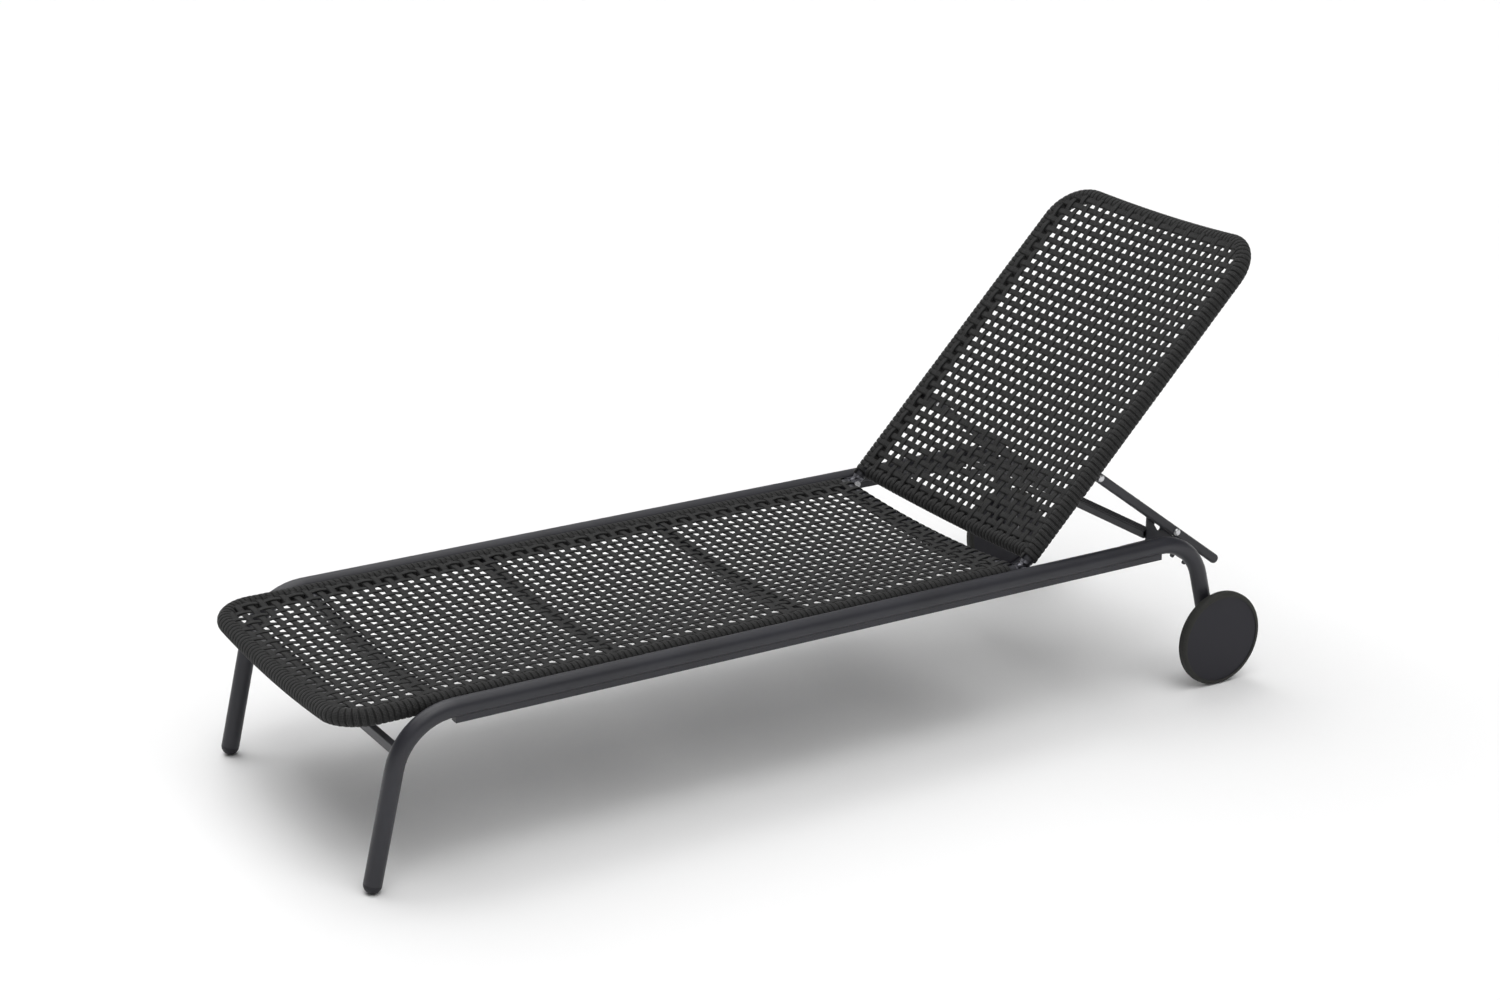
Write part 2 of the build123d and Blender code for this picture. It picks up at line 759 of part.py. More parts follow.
def beside(i, away):
    """Point beside a slot, square to the row of slots."""
    a = seats[max(i - 1, 0)]
    b = seats[min(i + 1, len(seats) - 1)]
    run = hypot(b[0] - a[0], b[1] - a[1])
    return (seats[i][0] - away * (b[1] - a[1]) / run, seats[i][1] + away * (b[0] - a[0]) / run)


foot_z = rail_z - tube_r - under_rail_drop + plate_foot_up
foot_x = lx(rail_end - plate_foot_back - plate_foot_len)
plate_x = lx(rail_end + plate_set)
last = len(seats) - 1
tip = (seats[last][0] + plate_end, seats[last][1] - plate_end)
for side, s in (("left", -1), ("right", 1)):
    plate_plane = Plane.XZ.offset(-s * plate_in)
    with BuildPart() as rack_plate:
        with BuildSketch(plate_plane):
            with BuildLine():
                Polyline(
                    beside(last, lobe_out - plate_tail),
                    beside(2, lobe_out - plate_depth),
                    beside(1, lobe_out - plate_depth),
                    (plate_x, foot_z),
                    (foot_x, foot_z),
                    (foot_x, foot_z + plate_foot_rise),
                    (plate_x, rail_z - plate_shoulder_drop),
                    (plate_x, seats[0][1] + plate_horn),
                    beside(0, plate_edge_over),
                    beside(1, plate_edge_over),
                    beside(2, plate_edge_over),
                    beside(last, plate_edge_over),
                    tip,
                    beside(last, lobe_out - plate_tail),
                )
            make_face()
            with Locations(beside(last, -plate_tail), beside(2, -plate_depth)):
                Circle(lobe_r)
            for seat in seats:
                lean = radians(notch_lean)
                shift = notch_len / 2 - notch_w / 2 - notch_over
                with Locations((seat[0] + shift * sin(lean), seat[1] - shift * cos(lean))):
                    SlotOverall(notch_len, notch_w, rotation=90 + notch_lean, mode=Mode.SUBTRACT)
        extrude(amount=-s * plate_t)
        with BuildSketch(Plane.XY.offset(foot_z)):
            with Locations((foot_x, s * plate_in)):
                Rectangle(
                    plate_foot_len,
                    half_track - under_rail_w / 2 - weld_gap - plate_in,
                    align=(Align.MIN, Align.MAX if s < 0 else Align.MIN),
                )
        extrude(amount=plate_t)
    save(rack_plate.part, f"rack_plate_{side}")

# Cross bar between the rack plates, grooved along its top
with BuildPart() as rear_crossbar:
    with BuildSketch(Plane.XZ):
        with Locations((plate_x + crossbar_set, rail_z + crossbar_rise)):
            RectangleRounded(crossbar_w, crossbar_h, crossbar_wall)
            Rectangle(
                crossbar_w - 2 * crossbar_wall,
                crossbar_h - 2 * crossbar_wall - crossbar_groove_d,
                mode=Mode.SUBTRACT,
            )
        with Locations((plate_x + crossbar_set, rail_z + crossbar_rise + crossbar_h / 2)):
            with GridLocations(crossbar_w / 4, 0, 3, 1):
                Rectangle(crossbar_groove_w, 2 * crossbar_groove_d, mode=Mode.SUBTRACT)
    extrude(amount=plate_in, both=True)
save(rear_crossbar.part, "rear_crossbar")
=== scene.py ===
# %% [markdown]
# # A reclining sun lounger
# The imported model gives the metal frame, the hinges and the wheels in metres.
# This lesson dresses it: powder coat on the tubes, cord wound round the seat
# and backrest frames, and an open plain weave between them.

# %% Load the frame
import json
import math

import bmesh
import bpy
import numpy as np
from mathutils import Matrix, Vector


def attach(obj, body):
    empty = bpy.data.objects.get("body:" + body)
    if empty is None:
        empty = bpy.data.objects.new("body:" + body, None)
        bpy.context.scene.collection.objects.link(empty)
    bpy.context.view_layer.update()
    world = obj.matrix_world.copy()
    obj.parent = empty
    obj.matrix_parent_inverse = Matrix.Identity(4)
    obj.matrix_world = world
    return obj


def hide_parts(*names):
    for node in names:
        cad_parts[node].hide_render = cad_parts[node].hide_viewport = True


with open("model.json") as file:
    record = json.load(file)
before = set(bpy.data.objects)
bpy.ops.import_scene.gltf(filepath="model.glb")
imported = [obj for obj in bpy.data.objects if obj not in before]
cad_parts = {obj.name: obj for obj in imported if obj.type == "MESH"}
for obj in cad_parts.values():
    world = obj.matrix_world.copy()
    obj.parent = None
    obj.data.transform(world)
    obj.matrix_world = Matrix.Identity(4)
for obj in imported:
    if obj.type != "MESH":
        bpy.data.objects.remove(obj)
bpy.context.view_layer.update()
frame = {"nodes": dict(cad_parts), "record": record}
nodes = frame["nodes"]

# %% [markdown]
# The camera stands at the photograph's place. Its distance, angle and lens were
# fitted to the outline of the lounger, so it is set by numbers and not by eye.
# The Standard view shows colours as they are, so white stays white.

# %% Camera
camera_data = bpy.data.cameras.new("camera")
camera_data.sensor_width = 36.0
camera_data.lens = 67.22
camera = bpy.data.objects.new("camera", camera_data)
bpy.context.scene.collection.objects.link(camera)
camera.location = (-2.3421, -3.8819, 1.9927)
turn, tilt = math.radians(-31.035), math.radians(19.454)
backward = Vector((math.sin(turn) * math.cos(tilt), -math.cos(turn) * math.cos(tilt), math.sin(tilt)))
camera.rotation_euler = (-backward).to_track_quat("-Z", "Y").to_euler()
bpy.context.scene.camera = camera
bpy.context.scene.view_settings.view_transform = "Standard"
print("lens", camera_data.lens)

# %% [markdown]
# Colours are written as the hex values that a paint or a photograph gives, and
# one function turns them to the linear values that shaders work in. A second
# one adds a node with its settings and its links, so a material reads as a list.

# %% Helpers for materials
def linear(hex_code):
    """Linear colour of an sRGB hex value."""
    values = [int(hex_code[i : i + 2], 16) / 255 for i in (1, 3, 5)]
    return [v / 12.92 if v <= 0.04045 else ((v + 0.055) / 1.055) ** 2.4 for v in values] + [1.0]


def add_node(material, kind, settings=None, links=None):
    """Add a node: settings go to its properties or inputs, links come from other nodes."""
    made = material.node_tree.nodes.new(kind)
    for name, value in (settings or {}).items():
        if isinstance(name, str) and hasattr(made, name):
            setattr(made, name, value)
        else:
            made.inputs[name].default_value = value
    for name, (source, output) in (links or {}).items():
        material.node_tree.links.new(source.outputs[output], made.inputs[name])
    return made


def new_material(name):
    """Empty node material with its output."""
    material = bpy.data.materials.new(name)
    material.use_nodes = True
    material.node_tree.nodes.clear()
    return material, add_node(material, "ShaderNodeOutputMaterial")


def show(material, output, shader):
    """Send the shader to the material's output."""
    material.node_tree.links.new(shader.outputs[0], output.inputs["Surface"])
    return material


def grains_per_metre(size_mm):
    """Scale of a noise texture whose grains are about this size."""
    return 1000.0 / size_mm


# %% [markdown]
# The tubes are aluminium under an anthracite powder coat. The powder melts into
# an even satin skin with a faint orange peel, so the highlight is a soft streak
# along each tube. The real peel is about 1 mm, too fine for the render, so it
# is drawn at 3 mm.

# %% Powder coat
peel_mm, cloud_mm = 3.0, 90.0
powder_coat, powder_out = new_material("anthracite_powder_coat_on_aluminium")
place = add_node(powder_coat, "ShaderNodeTexCoord")
peel = add_node(
    powder_coat,
    "ShaderNodeTexNoise",
    {"Scale": grains_per_metre(peel_mm), "Detail": 2.0},
    {"Vector": (place, "Object")},
)
cloud = add_node(
    powder_coat,
    "ShaderNodeTexNoise",
    {"Scale": grains_per_metre(cloud_mm), "Detail": 3.0},
    {"Vector": (place, "Object")},
)
coat_tone = add_node(powder_coat, "ShaderNodeValToRGB", links={"Fac": (cloud, "Fac")})
coat_tone.color_ramp.elements[0].position = 0.3
coat_tone.color_ramp.elements[0].color = linear("#26262B")
coat_tone.color_ramp.elements[1].position = 0.7
coat_tone.color_ramp.elements[1].color = linear("#2C2C32")
coat_gloss = add_node(
    powder_coat,
    "ShaderNodeMapRange",
    {"To Min": 0.36, "To Max": 0.46},
    {"Value": (peel, "Fac")},
)
coat_relief = add_node(
    powder_coat,
    "ShaderNodeBump",
    {"Strength": 0.12, "Distance": 0.0003},
    {"Height": (peel, "Fac")},
)
coat_shader = add_node(
    powder_coat,
    "ShaderNodeBsdfPrincipled",
    {"IOR": 1.5, "Specular IOR Level": 0.42},
    {
        "Base Color": (coat_tone, "Color"),
        "Roughness": (coat_gloss, "Result"),
        "Normal": (coat_relief, "Normal"),
    },
)
show(powder_coat, powder_out, coat_shader)
print("material", powder_coat.name)

# %% [markdown]
# The cord is a flat braid of charcoal polyolefin yarn, 10 to 13 mm wide. An image
# of a braid could be laid on it, but a pattern worked out from sizes stays sharp
# close up. The UV map is in millimetres along and across the cord, and the yarns
# cross every 4.5 mm, at 45 degrees both ways.

# %% Pattern of the braid
braid_pitch, yarn_mm = 4.5, 2.2
cord, cord_out = new_material("charcoal_braided_polyolefin_cord")
braid_uv = add_node(cord, "ShaderNodeUVMap", {"uv_map": "braid"})
axes = add_node(cord, "ShaderNodeSeparateXYZ", links={"Vector": (braid_uv, "UV")})
forth = add_node(cord, "ShaderNodeMath", {"operation": "ADD"}, {0: (axes, "X"), 1: (axes, "Y")})
back = add_node(cord, "ShaderNodeMath", {"operation": "SUBTRACT"}, {0: (axes, "X"), 1: (axes, "Y")})
waves = []
for diagonal in (forth, back):
    phase = add_node(
        cord,
        "ShaderNodeMath",
        {"operation": "MULTIPLY", 1: 2 * math.pi / braid_pitch},
        {0: (diagonal, "Value")},
    )
    waves.append(add_node(cord, "ShaderNodeMath", {"operation": "SINE"}, {0: (phase, "Value")}))
plait = add_node(
    cord,
    "ShaderNodeMath",
    {"operation": "MULTIPLY"},
    {0: (waves[0], "Value"), 1: (waves[1], "Value")},
)
cord_place = add_node(cord, "ShaderNodeTexCoord")
yarn = add_node(
    cord,
    "ShaderNodeTexNoise",
    {"Scale": grains_per_metre(yarn_mm), "Detail": 3.0},
    {"Vector": (cord_place, "Object")},
)
relief_height = add_node(
    cord,
    "ShaderNodeMath",
    {"operation": "MULTIPLY_ADD", 1: 0.5},
    {0: (plait, "Value"), 2: (yarn, "Fac")},
)
print("braid pitch", braid_pitch, "mm")

# %% [markdown]
# The yarn is matt and scatters the light. Shade is painted into its colour: the hollows
# between the yarns are painted darker than their crests, and the edges of the cord, which
# roll under, take painted shade. So one tone follows the height of the braid and falls off towards
# the edges.

# %% Finish of the cord
edge_start, edge_end = 2.8, 6.2
from_middle = add_node(cord, "ShaderNodeMath", {"operation": "ABSOLUTE"}, {0: (axes, "Y")})
# Painted shade: the cord's colour darkens from 2.8 to 6.2 mm off its middle, towards its edges.
edge_shade = add_node(
    cord,
    "ShaderNodeMapRange",
    {"From Min": edge_start, "From Max": edge_end, "To Min": 1.0, "To Max": 0.1},
    {"Value": (from_middle, "Value")},
)
painted_shade_height = add_node(
    cord,
    "ShaderNodeMath",
    {"operation": "MULTIPLY"},
    {0: (relief_height, "Value"), 1: (edge_shade, "Result")},
)
# The ramp paints shade into the cord's colour: dark in the braid's hollows and at the edges, light on
# the crests.
cord_tone = add_node(cord, "ShaderNodeValToRGB", links={"Fac": (painted_shade_height, "Value")})
cord_tone.color_ramp.elements[0].position = 0.1
cord_tone.color_ramp.elements[0].color = linear("#0C0C0C")
cord_tone.color_ramp.elements[1].position = 0.95
cord_tone.color_ramp.elements[1].color = linear("#383838")
cord_relief = add_node(
    cord,
    "ShaderNodeBump",
    {"Strength": 0.6, "Distance": 0.0006},
    {"Height": (relief_height, "Value")},
)
cord_shader = add_node(
    cord,
    "ShaderNodeBsdfPrincipled",
    {"Roughness": 0.75, "IOR": 1.49, "Specular IOR Level": 0.25, "Sheen Weight": 0.04},
    {"Base Color": (cord_tone, "Color"), "Normal": (cord_relief, "Normal")},
)
show(cord, cord_out, cord_shader)
print("material", cord.name)

# %% [markdown]
# The pins, bolts and axles are turned steel with zinc plating: bright, with fine
# marks that break up the reflections. The knuckles of the hinge are cast in a
# zinc alloy and left bare, which is a darker and duller grey. Both are one recipe.

# %% Bare metals
def bare_metal(name, colour, mark_mm, rough):
    """Bare metal with fine marks."""
    material, output = new_material(name)
    where = add_node(material, "ShaderNodeTexCoord")
    marks = add_node(
        material,
        "ShaderNodeTexNoise",
        {"Scale": grains_per_metre(mark_mm), "Detail": 4.0},
        {"Vector": (where, "Object")},
    )
    gloss = add_node(
        material,
        "ShaderNodeMapRange",
        {"To Min": rough - 0.1, "To Max": rough + 0.1},
        {"Value": (marks, "Fac")},
    )
    relief = add_node(
        material,
        "ShaderNodeBump",
        {"Strength": 0.15, "Distance": 0.0002},
        {"Height": (marks, "Fac")},
    )
    shader = add_node(
        material,
        "ShaderNodeBsdfPrincipled",
        {"Base Color": linear(colour), "Metallic": 1.0},
        {"Roughness": (gloss, "Result"), "Normal": (relief, "Normal")},
    )
    print("material", name)
    return show(material, output, shader)


steel = bare_metal("turned_zinc_plated_steel", "#C4C4C6", 1.5, 0.3)
knuckle_zinc = bare_metal("cast_zinc_alloy_knuckle", "#6C6C72", 2.5, 0.34)

# %% [markdown]
# Three plain mouldings: the nylon wheel disc, the rubber ring on it and the
# polyethylene plugs in the tube ends. They share one recipe, a fine moulded
# grain over an even colour, and differ in colour, grain and gloss.

# %% Moulded plastics and rubber
def moulded(name, dark, light, grain_mm, rough, ior):
    """Moulded surface with a fine grain."""
    material, output = new_material(name)
    where = add_node(material, "ShaderNodeTexCoord")
    grain = add_node(
        material,
        "ShaderNodeTexNoise",
        {"Scale": grains_per_metre(grain_mm), "Detail": 3.0},
        {"Vector": (where, "Object")},
    )
    tone = add_node(material, "ShaderNodeValToRGB", links={"Fac": (grain, "Fac")})
    tone.color_ramp.elements[0].position = 0.25
    tone.color_ramp.elements[0].color = linear(dark)
    tone.color_ramp.elements[1].position = 0.75
    tone.color_ramp.elements[1].color = linear(light)
    gloss = add_node(
        material,
        "ShaderNodeMapRange",
        {"To Min": rough - 0.06, "To Max": rough + 0.06},
        {"Value": (grain, "Fac")},
    )
    relief = add_node(
        material,
        "ShaderNodeBump",
        {"Strength": 0.15, "Distance": 0.0003},
        {"Height": (grain, "Fac")},
    )
    shader = add_node(
        material,
        "ShaderNodeBsdfPrincipled",
        {"IOR": ior, "Specular IOR Level": 0.25},
        {
            "Base Color": (tone, "Color"),
            "Roughness": (gloss, "Result"),
            "Normal": (relief, "Normal"),
        },
    )
    print("material", name)
    return show(material, output, shader)


wheel_nylon = moulded("moulded_nylon_wheel", "#201F26", "#24232A", 2.5, 0.5, 1.53)
ring_rubber = moulded("moulded_rubber_ring", "#2B2B29", "#333331", 3.0, 0.68, 1.52)
plug_plastic = moulded("moulded_polyethylene_plug", "#232327", "#28282D", 2.0, 0.5, 1.51)

# %% [markdown]
# The pieces whose CAD shape is already right keep it, and only take a finish.

# %% Finishes for the rigid pieces
finish_of_slot = {
    "frame_metal": powder_coat,
    "cord": cord,
    "bright_metal": steel,
    "wheel_plastic": wheel_nylon,
    "tyre_rubber": ring_rubber,
    "plug_plastic": plug_plastic,
}
for entry in frame["record"]["subparts"]:
    mesh = nodes[entry["node"]].data
    mesh.materials.clear()
    knuckle = entry["node"].startswith(("hinge_fork", "hinge_eye"))
    mesh.materials.append(knuckle_zinc if knuckle else finish_of_slot[entry["material_slot"]])

# %% [markdown]
# Seat and backrest are the same kind of panel: a U-shaped tube with a bowed
# closed end, open towards the hinge. Each is described once, with p as the
# distance from the closed end, y across and h above the tube's centre line, all
# in millimetres, and one function puts a panel's points in the lounger. The sizes
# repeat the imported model's, and x_mid is the middle of its length.

# %% The two panels
rail_z, x_mid = 276.0, 857.51
hinge_x, recline = 1236.6, math.radians(45.92)
core_r, wrap_r = 11.0, 14.6
seat = {"half": 264.0, "corner": 60.0, "bow": math.radians(4.8), "end": 1243.1}
rest = {"half": 263.2, "corner": 69.6, "bow": math.radians(6.35), "end": 685.0}
seat_front_x, rest_length = -22.5, 701.0


def on_lounger(panel, points):
    """Panel points (p, y, h) in millimetres as places on the lounger in metres."""
    p, y, h = np.asarray(points, float).T
    if panel is seat:
        x, z = seat_front_x + p, rail_z + h
    else:
        u = rest_length - p
        x = hinge_x + u * math.cos(recline) - h * math.sin(recline)
        z = rail_z + u * math.sin(recline) + h * math.cos(recline)
    return np.stack([x - x_mid, y, z], axis=1) / 1000.0


for name, panel in (("seat", seat), ("backrest", rest)):
    print("closed end of the", name, on_lounger(panel, [[0.0, 0.0, 0.0]])[0].round(3).tolist())

# %% [markdown]
# The closed end of each U is bowed, so its middle is lower than its sides, and the
# weave hangs with it. The U is worked out as one line, an arc, two round corners
# and two straight sides, so a place on it is known by its length from the middle.

# %% Bow and line of the tubes
def bow_of(panel, y):
    """How far the bowed cross tube and the panel hang at y."""
    half, bow, corner = panel["half"], panel["bow"], panel["corner"]
    straight = half - corner * math.cos(bow)
    sag = corner * math.sin(bow) + straight * math.tan(bow / 2)
    return -sag * (1 - (np.abs(y) / half) ** 2)


def tube_line(panel, s):
    """Centre line of the U at lengths s from its middle, and its direction there."""
    half, corner, bow = panel["half"], panel["corner"], panel["bow"]
    flat = half - corner * math.cos(bow)
    arc_r = flat / math.sin(bow)
    cross, bend = arc_r * bow, corner * math.pi / 2
    s = np.asarray(s, float)
    sign, t = np.sign(s), np.abs(s)
    turned = np.clip((t - cross) / corner, 0, math.pi / 2)
    past = np.clip(t - cross - bend, 0, None)
    angle = np.clip(t, 0, cross) / arc_r
    low = -corner * math.sin(bow)
    y = arc_r * np.sin(angle) + corner * np.sin(turned) * math.cos(bow)
    h = low + arc_r * (math.cos(bow) - np.cos(angle)) + corner * np.sin(turned) * math.sin(bow)
    p = corner * (1 - np.cos(turned)) + past
    run_y = np.where(t < cross, np.cos(angle), np.cos(turned) * math.cos(bow))
    run_h = np.where(t < cross, np.sin(angle), np.cos(turned) * math.sin(bow))
    run_p = np.sin(turned)
    line = np.stack([p, sign * y, h], axis=1)
    run = np.stack([sign * run_p, run_y, sign * run_h], axis=1)
    return line, run, cross, bend


print("seat bow", round(float(bow_of(seat, 0.0)), 1), "rest bow", round(float(bow_of(rest, 0.0)), 1))

# %% [markdown]
# A cord is a flat strip with soft edges. It could be a curve with a bevel, but a
# mesh swept in code keeps the cord flat on the tube and the weave where it
# belongs, and gives it a UV map in millimetres for the braid.

# %% Sweep a cord
def cord_mesh(name, strips):
    """One mesh from several strips, each rings of section points with UVs in millimetres."""
    verts, faces, uvs = [], [], []
    for rings, along, across in strips:
        count, around = rings.shape[:2]
        first = sum(len(v) for v in verts)
        verts.append(rings.reshape(-1, 3))
        grid = first + np.arange(count * around).reshape(count, around)
        nxt = np.roll(grid, -1, axis=1)
        quads = np.stack([grid[:-1], nxt[:-1], nxt[1:], grid[1:]], axis=-1)
        faces.append(quads.reshape(-1, 4))
        wide = np.append(across, across[0])
        u = np.repeat(along[:, None], around + 1, axis=1)
        v = np.repeat(wide[None, :], count, axis=0)
        uv = np.stack([u, v], axis=-1)
        corner_uv = np.stack([uv[:-1, :-1], uv[:-1, 1:], uv[1:, 1:], uv[1:, :-1]], axis=2)
        uvs.append(corner_uv.reshape(-1, 2))
    mesh = bpy.data.meshes.new(name)
    all_verts, all_faces = np.concatenate(verts), np.concatenate(faces)
    mesh.vertices.add(len(all_verts))
    mesh.vertices.foreach_set("co", all_verts.astype(np.float32).ravel())
    mesh.loops.add(all_faces.size)
    mesh.loops.foreach_set("vertex_index", all_faces.astype(np.int32).ravel())
    mesh.polygons.add(len(all_faces))
    mesh.polygons.foreach_set("loop_start", np.arange(0, all_faces.size, 4, dtype=np.int32))
    layer = mesh.uv_layers.new(name="braid")
    layer.uv.foreach_set("vector", np.concatenate(uvs).astype(np.float32).ravel())
    mesh.update(calc_edges=True)
    mesh.polygons.foreach_set("use_smooth", [True] * len(mesh.polygons))
    mesh.materials.append(cord)
    made = bpy.data.objects.new(name, mesh)
    bpy.context.scene.collection.objects.link(made)
    print(name, "faces", len(mesh.polygons))
    return made


# %% [markdown]
# The tubes are wound with the same cord, turn beside turn. Each turn's edges lie
# on planes square to the tube, so turns fan out by themselves round a corner. In
# section a turn is a flat lens a little narrower than the pitch, which leaves a
# fine groove between turns.

# %% Wound cord
turn_steps = 24
turn_fill, turn_half = 0.49, 5.0
turn_side = np.array([-1.0, -0.9, -0.62, 0.0, 0.62, 0.9, 1.0, 0.9, -0.9])
turn_rise = np.array([0.40, 0.76, 0.94, 1.0, 0.94, 0.76, 0.40, 0.02, 0.02])


def winding(panel, line_of, crests, inner_r, thick):
    """Rings of one cord wound round a tube, whose turns cross its top at the given lengths."""
    crests = np.asarray(crests, float)
    turns = np.linspace(0, len(crests) - 1, (len(crests) - 1) * turn_steps + 1)
    middle = np.interp(turns, np.arange(len(crests)), crests)
    pitch = np.interp(turns, np.arange(len(crests)), np.gradient(crests))
    angle = math.pi / 2 - 2 * math.pi * turns
    lengths = middle[:, None] + turn_side[None, :] * pitch[:, None] * turn_fill
    radius = inner_r + thick * turn_rise[None, :]
    line, run = line_of(lengths.ravel())
    up = np.array([0.0, 0.0, 1.0]) - run * run[:, 2:3]
    up /= np.linalg.norm(up, axis=1, keepdims=True)
    side = np.cross(run, up)
    a = np.repeat(angle[:, None], len(turn_side), axis=1).ravel()[:, None]
    r = np.repeat(radius, len(turns), axis=0).ravel()[:, None]
    points = line + r * (np.cos(a) * side + np.sin(a) * up)
    rings = on_lounger(panel, points).reshape(len(turns), len(turn_side), 3)
    along = turns * 2 * math.pi * (inner_r + thick / 2)
    return rings, along, turn_side * turn_half


print("points in a turn", turn_steps * len(turn_side))

# %% [markdown]
# The turns are set out to suit the weave. On the straight sides and on the closed
# end every second turn lines up with a cord of it, and in the corners the turns
# share out what is left.

# %% Wound cord on the two U tubes
end_margin, fan_pitch = 4.0, 9.2


def u_crests(panel, first_row, half_pitch, cross_pitch):
    """Where the turns on a U cross its top: in step with the weave on the straight runs."""
    _, _, cross, bend = tube_line(panel, [0.0])
    straight = cross + bend
    rows = np.arange(first_row % half_pitch, panel["end"], half_pitch)
    rows = rows[(rows > panel["corner"] + end_margin) & (rows < panel["end"] - end_margin)]
    sides = straight + rows - panel["corner"]
    middle = np.arange(-int(cross / cross_pitch), int(cross / cross_pitch) + 1) * cross_pitch
    gap = sides[0] - middle[-1]
    fan = np.linspace(middle[-1], sides[0], round(gap / fan_pitch) + 1)[1:-1]
    half = np.concatenate([fan, sides])
    return np.concatenate([-half[::-1], middle, half])


weave_along, weave_across = 20.55, 20.8
seat_first_row, seat_border_row, seat_row_count = 31.35, 12.4, 59
rest_first_row, rest_border_row, rest_row_count = 51.5, 14.2, 32
seat_rows = seat_first_row + weave_along * np.arange(-1, seat_row_count)
seat_rows[0] = seat_border_row
rest_rows = rest_length - rest_first_row - weave_along * np.arange(rest_row_count)
rest_rows[-1] = rest_border_row
cord_gap = 0.1
cord_in_r = core_r + cord_gap
cord_thick = wrap_r - cord_in_r
wound = {}
for name, panel, rows in (("seat", seat, seat_rows), ("backrest", rest, rest_rows)):
    crests = u_crests(panel, rows[1], weave_along / 2, weave_across / 2)
    rings = winding(panel, lambda s: tube_line(panel, s)[:2], crests, cord_in_r, cord_thick)
    wound[name] = cord_mesh(name + "_winding", [rings])
    print(name, "turns", len(crests))

# %% [markdown]
# The backrest's bottom tube is wound in the same way, between the side tubes.

# %% Wound cord on the bottom tube
bottom_bar_u, turns_each_way = 34.5, 24
bottom_p = rest_length - bottom_bar_u


def bottom_line(y):
    """Centre line of the bottom tube at y and its direction."""
    y = np.asarray(y, float)
    line = np.stack([np.full_like(y, bottom_p), y, bow_of(rest, y)], axis=1)
    slope = 2 * -bow_of(rest, 0.0) * y / rest["half"] ** 2
    run = np.stack([np.zeros_like(y), np.ones_like(y), slope], axis=1)
    return line, run / np.linalg.norm(run, axis=1, keepdims=True)


bottom_turns = weave_across / 2 * np.arange(-turns_each_way, turns_each_way + 1)
rings = winding(rest, bottom_line, bottom_turns, cord_in_r, cord_thick)
wound["bottom"] = cord_mesh("backrest_bottom_winding", [rings])
print("turn width", round(bottom_turns[1] - bottom_turns[0], 2))

# %% [markdown]
# The panels are a plain weave: each cord goes over one and under the next. A
# cosine gives every cord its waves, and the cords across take the opposite sign
# to the cords along, so at each crossing one is up where the other is down. The
# outermost cords lie close to the wound tubes, a little off the even pitch.

# %% Sizes and section of the woven cord
across_w, along_w, cord_t = 12.2, 12.75, 2.2
wave, weave_hang, fade_len = 1.05, 0.94, 12.0
seat_border, seat_cord_count = 244.5, 24
rest_border, rest_cord_count = 251.0, 25
seat["lift"], rest["lift"] = 10.8, 12.4
seat["cords"] = weave_across * (np.arange(seat_cord_count) - (seat_cord_count - 1) / 2)
seat["cords"][[0, -1]] = -seat_border, seat_border
rest["cords"] = weave_across * (np.arange(rest_cord_count) - (rest_cord_count - 1) / 2)
rest["cords"][[0, -1]] = -rest_border, rest_border
steps_per_cross, oval_points = 4, 8
flatness, roundness = 0.45, 0.9
oval = np.linspace(0, 2 * math.pi, oval_points, endpoint=False) + math.pi / oval_points
oval_side = np.sign(np.cos(oval)) * np.abs(np.cos(oval)) ** flatness / 2
oval_rise = np.sign(np.sin(oval)) * np.abs(np.sin(oval)) ** roundness * cord_t / 2


def strip(panel, line, side, along, width):
    """Rings of a flat cord along a line, lying flat on the given sideways direction."""
    run = np.gradient(line, axis=0)
    run /= np.linalg.norm(run, axis=1, keepdims=True)
    side = side - run * np.sum(side * run, axis=1, keepdims=True)
    side /= np.linalg.norm(side, axis=1, keepdims=True)
    up = np.cross(run, side)
    points = line[:, None, :] + width * oval_side[None, :, None] * side[:, None, :]
    points = points + oval_rise[None, :, None] * up[:, None, :]
    rings = on_lounger(panel, points.reshape(-1, 3)).reshape(len(line), len(oval_side), 3)
    return rings, along, width * oval_side


print("cords along", len(seat["cords"]), len(rest["cords"]))

# %% [markdown]
# The cords across go from side tube to side tube, and slip under the wound turns
# there, so their waves fade out. In the round corners the panel narrows, and each
# cord is as long as the tube leaves it. The braid is shifted from cord to cord,
# so that neighbours don't show the same stretch of it.

# %% Cords across
braid_shift_across = 37.0


def side_reach(panel, p):
    """Half width of the U, to the tube's centre line, at p from the closed end."""
    corner = panel["corner"]
    inside = np.clip(corner - p, 0, corner)
    return panel["half"] - corner + np.sqrt(corner**2 - inside**2)


def cords_across(panel, rows):
    """Cords from side tube to side tube, one for each row."""
    strips = []
    for i, p in enumerate(rows):
        reach = float(side_reach(panel, p))
        count = int(2 * reach / weave_across * steps_per_cross)
        y = np.linspace(-reach, reach, count)
        fade = np.clip((reach - np.abs(y)) / fade_len, 0, 1)
        over_under = (-1) ** i * np.cos(math.pi * (y - panel["cords"][1]) / weave_across)
        lift = panel["lift"] - wave * fade * over_under
        line = np.stack([np.full_like(y, p), y, weave_hang * bow_of(panel, y) + lift], axis=1)
        side = np.tile([1.0, 0.0, 0.0], (count, 1))
        strips.append(strip(panel, line, side, y + braid_shift_across * i, across_w))
    return strips


seat_strips, rest_strips = cords_across(seat, seat_rows), cords_across(rest, rest_rows)
print("cords across", len(seat_strips), len(rest_strips))

# %% [markdown]
# The cords along the panels start on the closed end. On the seat they go over
# the bare rear bar and round it. On the backrest they end on the wound bottom
# tube.

# %% Cords along
rear_bar_p, rear_bar_r = 1234.5, 12.5
bar_clear, bar_rise_len, bar_last_angle, bar_steps = 0.2, 20.0, -160.0, 16
braid_shift_along = 53.0


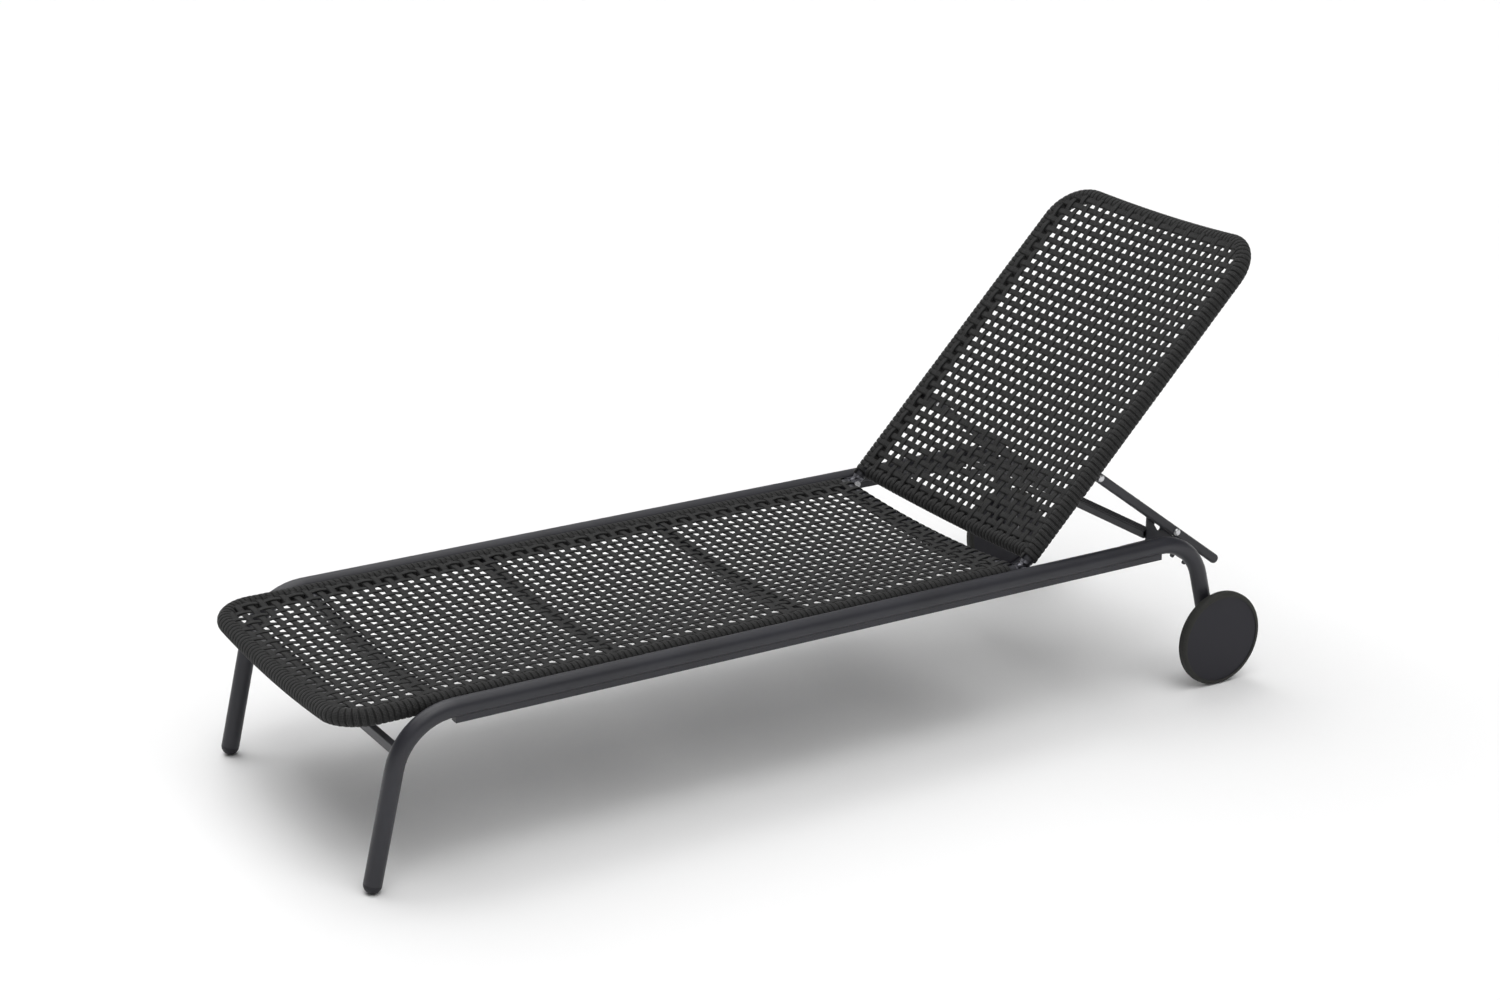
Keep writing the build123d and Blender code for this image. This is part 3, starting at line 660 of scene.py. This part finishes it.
def end_reach(panel, y):
    """How far from the closed end the tube's centre line is at y."""
    corner = panel["corner"]
    inside = max(abs(y) - (panel["half"] - corner), 0.0)
    return corner - math.sqrt(corner**2 - inside**2)


def cords_along(panel, first_row, far_end, bar_r):
    """Cords from the closed end to the far tube, round it where it is bare."""
    strips = []
    for j, y0 in enumerate(panel["cords"]):
        start = end_reach(panel, y0)
        count = int((far_end - start) / weave_along * steps_per_cross)
        p = np.linspace(start, far_end, count)
        fade = np.clip((p - start) / fade_len, 0, 1) * np.clip((far_end - p) / fade_len, 0, 1)
        over_under = (-1) ** j * np.cos(math.pi * (p - first_row) / weave_along)
        lift = panel["lift"] - wave * fade * over_under
        if bar_r:
            ride_r = bar_r + cord_t / 2 + bar_clear
            near = np.clip(1 - (far_end - p) / bar_rise_len, 0, 1)
            lift += (ride_r - panel["lift"]) * near**2 * (3 - 2 * near)
            round_it = np.radians(np.linspace(90, bar_last_angle, bar_steps + 1))[1:]
            p = np.append(p, far_end + ride_r * np.cos(round_it))
            lift = np.append(lift, ride_r * np.sin(round_it))
        sag = weave_hang * bow_of(panel, np.full_like(p, y0))
        line = np.stack([p, np.full_like(p, y0), sag + lift], axis=1)
        length = np.append(0, np.cumsum(np.linalg.norm(np.diff(line, axis=0), axis=1)))
        side = np.tile([0.0, 1.0, 0.0], (len(p), 1))
        strips.append(strip(panel, line, side, length + braid_shift_along * j, along_w))
    return strips


seat_step = seat_rows[1] - weave_along
seat_strips = seat_strips + cords_along(seat, seat_step, rear_bar_p, rear_bar_r)
rest_strips = rest_strips + cords_along(rest, rest_rows[0], bottom_p, 0.0)
seat_panel = cord_mesh("seat_plain_weave", seat_strips)
rest_panel = cord_mesh("backrest_plain_weave", rest_strips)

# %% [markdown]
# Each cord piece stands for a plain CAD solid, rides with its body and takes the
# record's cord finish.

# %% Ride the cord pieces
for piece, body, node in (
    (wound["seat"], "frame", "seat_wrap"),
    (seat_panel, "frame", "seat_weave"),
    (wound["backrest"], "backrest", "backrest_wrap"),
    (wound["bottom"], "backrest", "backrest_bottom_wrap"),
    (rest_panel, "backrest", "backrest_weave"),
):
    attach(piece, body)
    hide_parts(node)
print("riding", [o.name for o in (*wound.values(), seat_panel, rest_panel)])

# %% [markdown]
# The floor is a matt white disc, so large that its edge is far off. It only takes
# the shadow, so it needs no gloss.

# %% Floor
floor_radius = 60.0
floor_paint, floor_out = new_material("pale_studio_floor")
floor_shader = add_node(
    floor_paint,
    "ShaderNodeBsdfPrincipled",
    {"Base Color": linear("#F4F4F4"), "Roughness": 0.9, "Specular IOR Level": 0.0},
)
show(floor_paint, floor_out, floor_shader)
floor_mesh = bpy.data.meshes.new("floor")
builder = bmesh.new()
bmesh.ops.create_circle(builder, cap_ends=True, segments=64, radius=floor_radius)
builder.to_mesh(floor_mesh)
builder.free()
floor_mesh.materials.append(floor_paint)
floor = bpy.data.objects.new("floor", floor_mesh)
bpy.context.scene.collection.objects.link(floor)
print("floor", floor_radius, "m")

# %% [markdown]
# Three broad panels of light hang overhead, in a row across the lounger. Each is a
# sun with a wide disc, which lights the floor evenly however far it runs. In a row
# they make the shadow soft in front and behind, and dense along the lounger. A small
# light in front and above adds streaks on the tubes.

# %% Lights
panel_leans, panel_angle, panel_power = (-38.0, -4.0, 30.0), 56.0, 1.29
key_place, key_aim, key_size, key_power = (-1.2, -1.4, 3.2), (0.0, 0.0, 0.2), 0.5, 4.0


def add_light(name, kind, settings):
    """Light of the given kind with its settings."""
    data = bpy.data.lights.new(name, kind)
    for setting, value in settings.items():
        setattr(data, setting, value)
    lamp = bpy.data.objects.new(name, data)
    bpy.context.scene.collection.objects.link(lamp)
    return lamp


panel_settings = {"angle": math.radians(panel_angle), "energy": panel_power}
for lean in panel_leans:
    ceiling_panel = add_light("ceiling_panel", "SUN", panel_settings)
    ceiling_panel.rotation_euler = (math.radians(lean), 0.0, 0.0)
key = add_light("key", "AREA", {"shape": "SQUARE", "size": key_size, "energy": key_power})
key.location = key_place
key.rotation_euler = (Vector(key_aim) - Vector(key_place)).to_track_quat("-Z", "Y").to_euler()
print("lights", len(panel_leans) + 1)

# %% [markdown]
# The studio's walls are pale near the floor and dark above. The world stands in for
# them: its brightness falls with height, from white at the horizon to black at 27
# degrees. It fills the side of each tube that the panels overhead don't reach.

# %% Studio walls
wall_stops = ((0.05, 1.0), (0.18, 0.26), (0.45, 0.0))
world = bpy.data.worlds.new("studio")
bpy.context.scene.world = world
world.use_nodes = True
heading = add_node(world, "ShaderNodeTexCoord")
height = add_node(world, "ShaderNodeSeparateXYZ", links={"Vector": (heading, "Generated")})
wall_glow = add_node(world, "ShaderNodeValToRGB", links={"Fac": (height, "Z")})
wall_glow.color_ramp.elements.new(wall_stops[1][0])
for stop, (rise, grey) in zip(wall_glow.color_ramp.elements, wall_stops):
    stop.position = rise
    stop.color = (grey, grey, grey, 1.0)
backdrop = world.node_tree.nodes["Background"]
world.node_tree.links.new(wall_glow.outputs["Color"], backdrop.inputs["Color"])
print("wall stops", len(wall_glow.color_ramp.elements))
